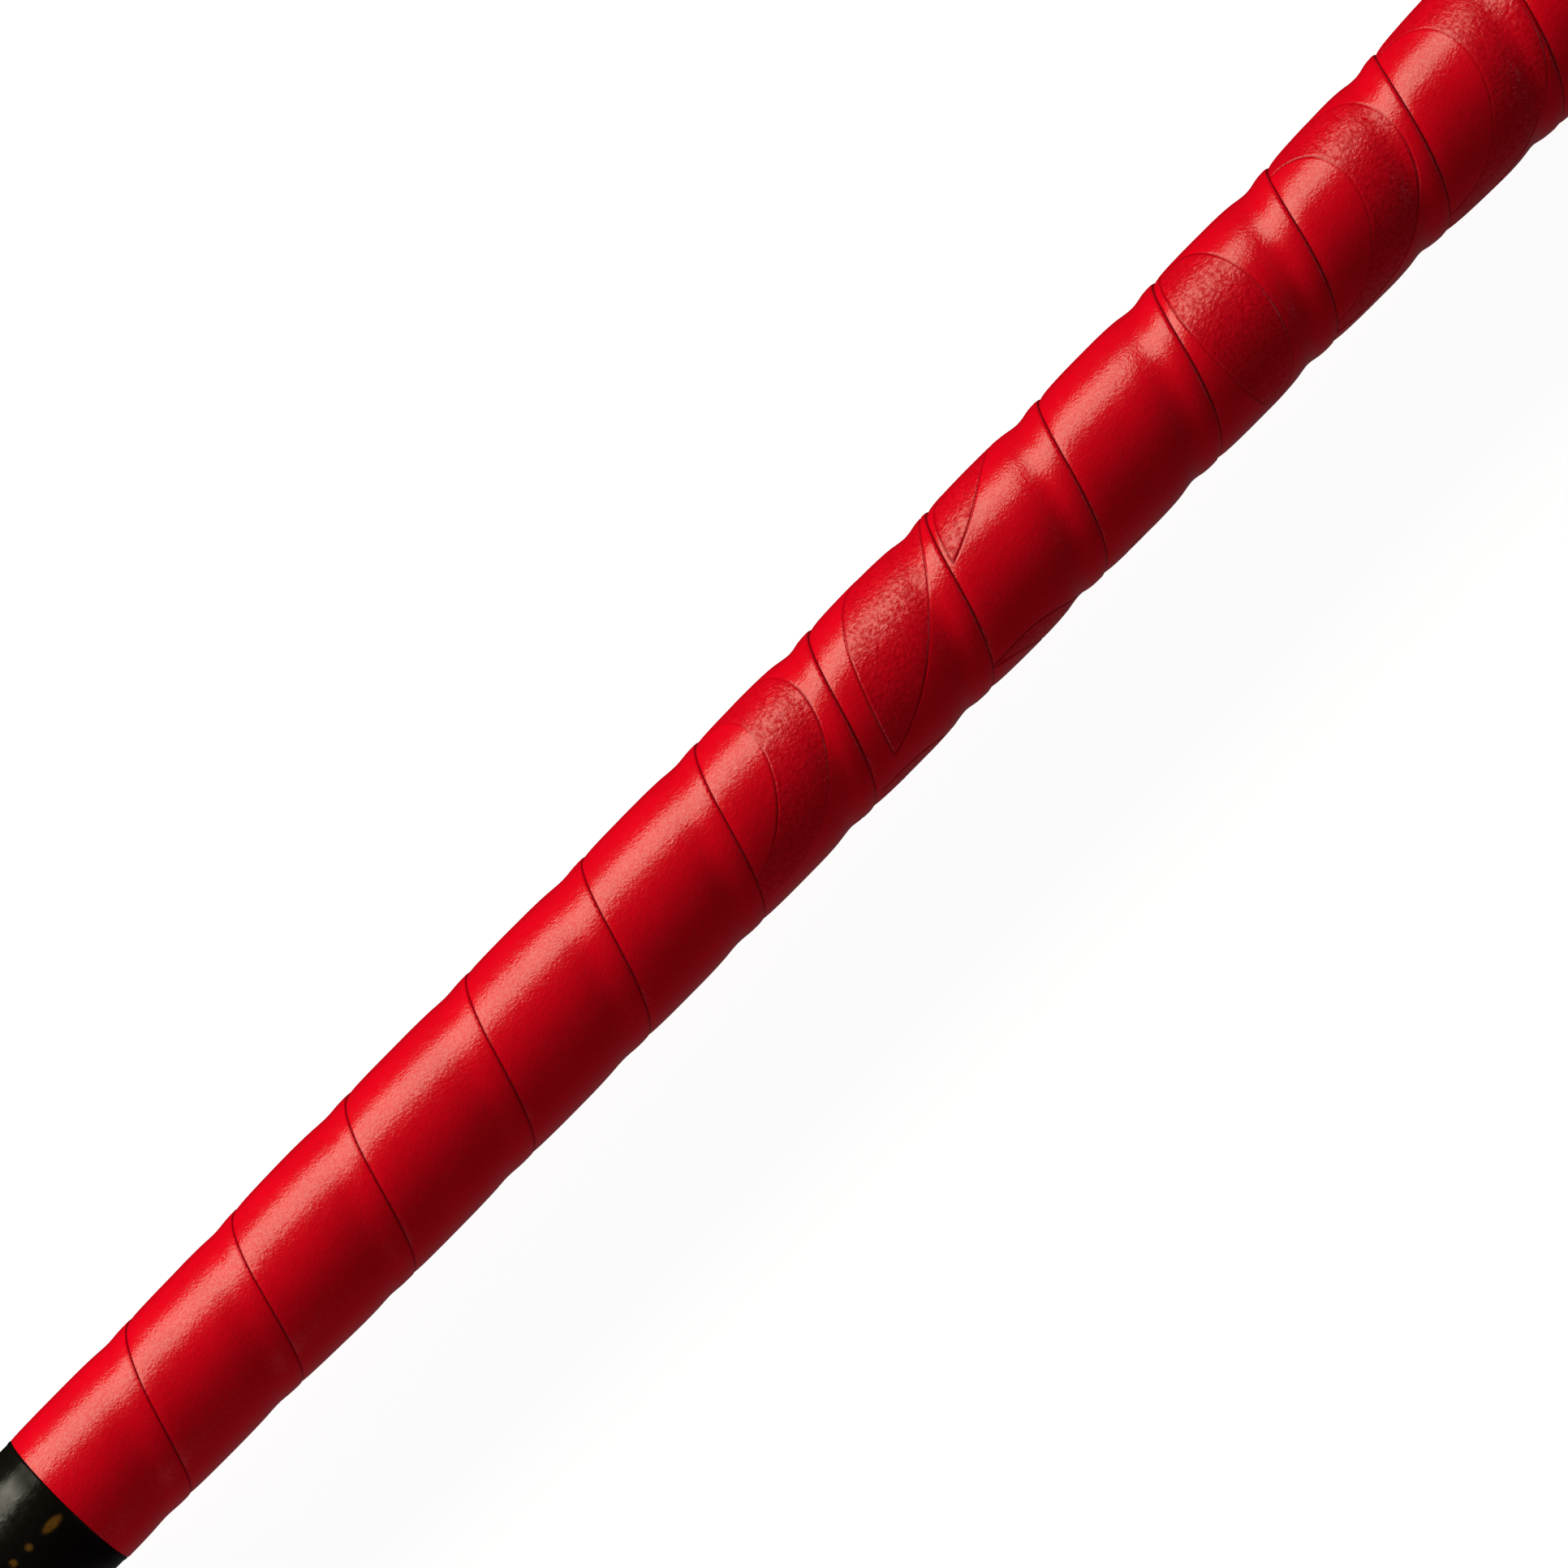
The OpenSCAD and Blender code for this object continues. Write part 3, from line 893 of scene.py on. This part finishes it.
def studio_strength(tree, is_glossy):
    """Strength of the studio's light by direction.

    It is even for diffuse rays. Glossy ones see a faint glow on the -Y side, a soft box on that side past
    each end, and more light straight past the ends.
    """

    def put(socket, value):
        if isinstance(value, bpy.types.NodeSocket):
            tree.links.new(value, socket)
        else:
            socket.default_value = value

    def step(value, low, high, to_low=0.0, to_high=1.0):
        node = tree.nodes.new("ShaderNodeMapRange")
        node.interpolation_type = "SMOOTHSTEP"
        limits = {"Value": value, "From Min": low, "From Max": high, "To Min": to_low, "To Max": to_high}
        for name, at in limits.items():
            put(node.inputs[name], at)
        return node.outputs["Result"]

    def join(operation, a, b=0.0):
        node = tree.nodes.new("ShaderNodeMath")
        node.operation = operation
        put(node.inputs[0], a)
        put(node.inputs[1], b)
        return node.outputs[0]

    place = tree.nodes.new("ShaderNodeTexCoord")
    split = tree.nodes.new("ShaderNodeSeparateXYZ")
    tree.links.new(place.outputs["Generated"], split.inputs[0])
    x, y, z = split.outputs
    endwise = join("ABSOLUTE", x)
    low_glow = join("MULTIPLY", step(y, -0.25, -0.05, 1, 0), step(z, -0.9, 0.3, 0.066, 0))
    box_height = join("MULTIPLY", step(z, 0.22, 0.32), step(z, 0.62, 0.72, 1, 0))
    soft_box = join("MULTIPLY", join("MULTIPLY", box_height, step(y, -0.1, 0.1, 1, 0)), 0.9)
    past_ends = join("MULTIPLY", join("ADD", soft_box, 0.22), step(endwise, 0.5, 0.66))
    straight_on = step(endwise, 0.75, 0.95, 0.0, 0.7)
    even, least = 0.08, 0.004
    seen_glossy = join("ADD", join("MAXIMUM", low_glow, join("MAXIMUM", past_ends, straight_on)), least)
    return join("ADD", join("MULTIPLY", is_glossy, join("SUBTRACT", seen_glossy, even)), even)


def light_scene(aim):
    """Warm key light on the +Y side, a weak fill on the other and the studio's own light."""
    area_light(
        "key", aim, direction(90, 21.8, -0.2),
        distance=1.1, size=(1.5, 0.76), watts=20.3, colour=(1.0, 0.94, 0.76), turn_up=8,
    )  # fmt: skip
    fill = area_light(
        "fill", aim, direction(-90, 10, -0.7),
        distance=0.8, size=(0.5, 0.4), watts=1.46, colour=(1.0, 0.85, 0.9),
    )  # fmt: skip
    fill.visible_glossy = False
    world = bpy.data.worlds.new("studio")
    bpy.context.scene.world = world
    world.use_nodes = True
    tree = world.node_tree
    seen = tree.nodes["Background"]
    seen.inputs["Color"].default_value = rgba(0.95, 0.95, 0.95)
    light = tree.nodes.new("ShaderNodeBackground")
    light.inputs["Color"].default_value = rgba(1.0, 0.92, 1.0)
    path = tree.nodes.new("ShaderNodeLightPath")
    tree.links.new(studio_strength(tree, path.outputs["Is Glossy Ray"]), light.inputs["Strength"])
    either = tree.nodes.new("ShaderNodeMixShader")
    tree.links.new(path.outputs["Is Camera Ray"], either.inputs[0])
    tree.links.new(light.outputs[0], either.inputs[1])
    tree.links.new(seen.outputs[0], either.inputs[2])
    tree.links.new(either.outputs[0], tree.nodes["World Output"].inputs["Surface"])
    bpy.context.scene.view_settings.view_transform = "Standard"


def place_camera():
    """Looks down at the right half, which runs from the lower left corner to the upper right one."""
    roll, tilt = math.radians(45.29), math.radians(3)
    distance, lens = 0.972, 150.9
    share, aside = 0.4495, -0.76  # the aim's place along the grip, and its distance from the axis in mm
    aim = Vector((GRIP_FROM + share * (GRIP_TO - GRIP_FROM), aside, 0)) * MM
    along = Vector((math.cos(tilt), 0, math.sin(tilt)))
    over = Vector((0, 1, 0))
    back = along.cross(over)
    right = math.cos(roll) * along - math.sin(roll) * over
    up = math.sin(roll) * along + math.cos(roll) * over
    data = bpy.data.cameras.new("camera")
    data.lens, data.sensor_width = lens, 36
    data.clip_start, data.clip_end = 0.05, 50
    camera = bpy.data.objects.new("camera", data)
    camera.matrix_world = placed(aim + back * distance, right, up, back)
    bpy.context.scene.collection.objects.link(camera)
    bpy.context.scene.camera = camera
    return aim


# ---------- the scene ----------

build_grips(red_grip())
build_sleeve(black_sleeve())
build_caps(cap_rubber())
bright_steel = turned_steel("bright_steel", (0.62, 0.62, 0.63))
build_washers(bright_steel)
build_screws(bright_steel)
build_cushions(grey_foam())
tape, plain_steel = vinyl_tape(), turned_steel("plain_steel", (0.42, 0.42, 0.43))
dress_cad_nodes({
    "core_stick": turned_wood(),
    "centre_collar": dark_rubber(),
    "start_tape_right": tape,
    "start_tape_left": tape,
    "end_weight_right": plain_steel,
    "end_weight_left": plain_steel,
})
aim = place_camera()
light_scene(aim)
lay_floor()
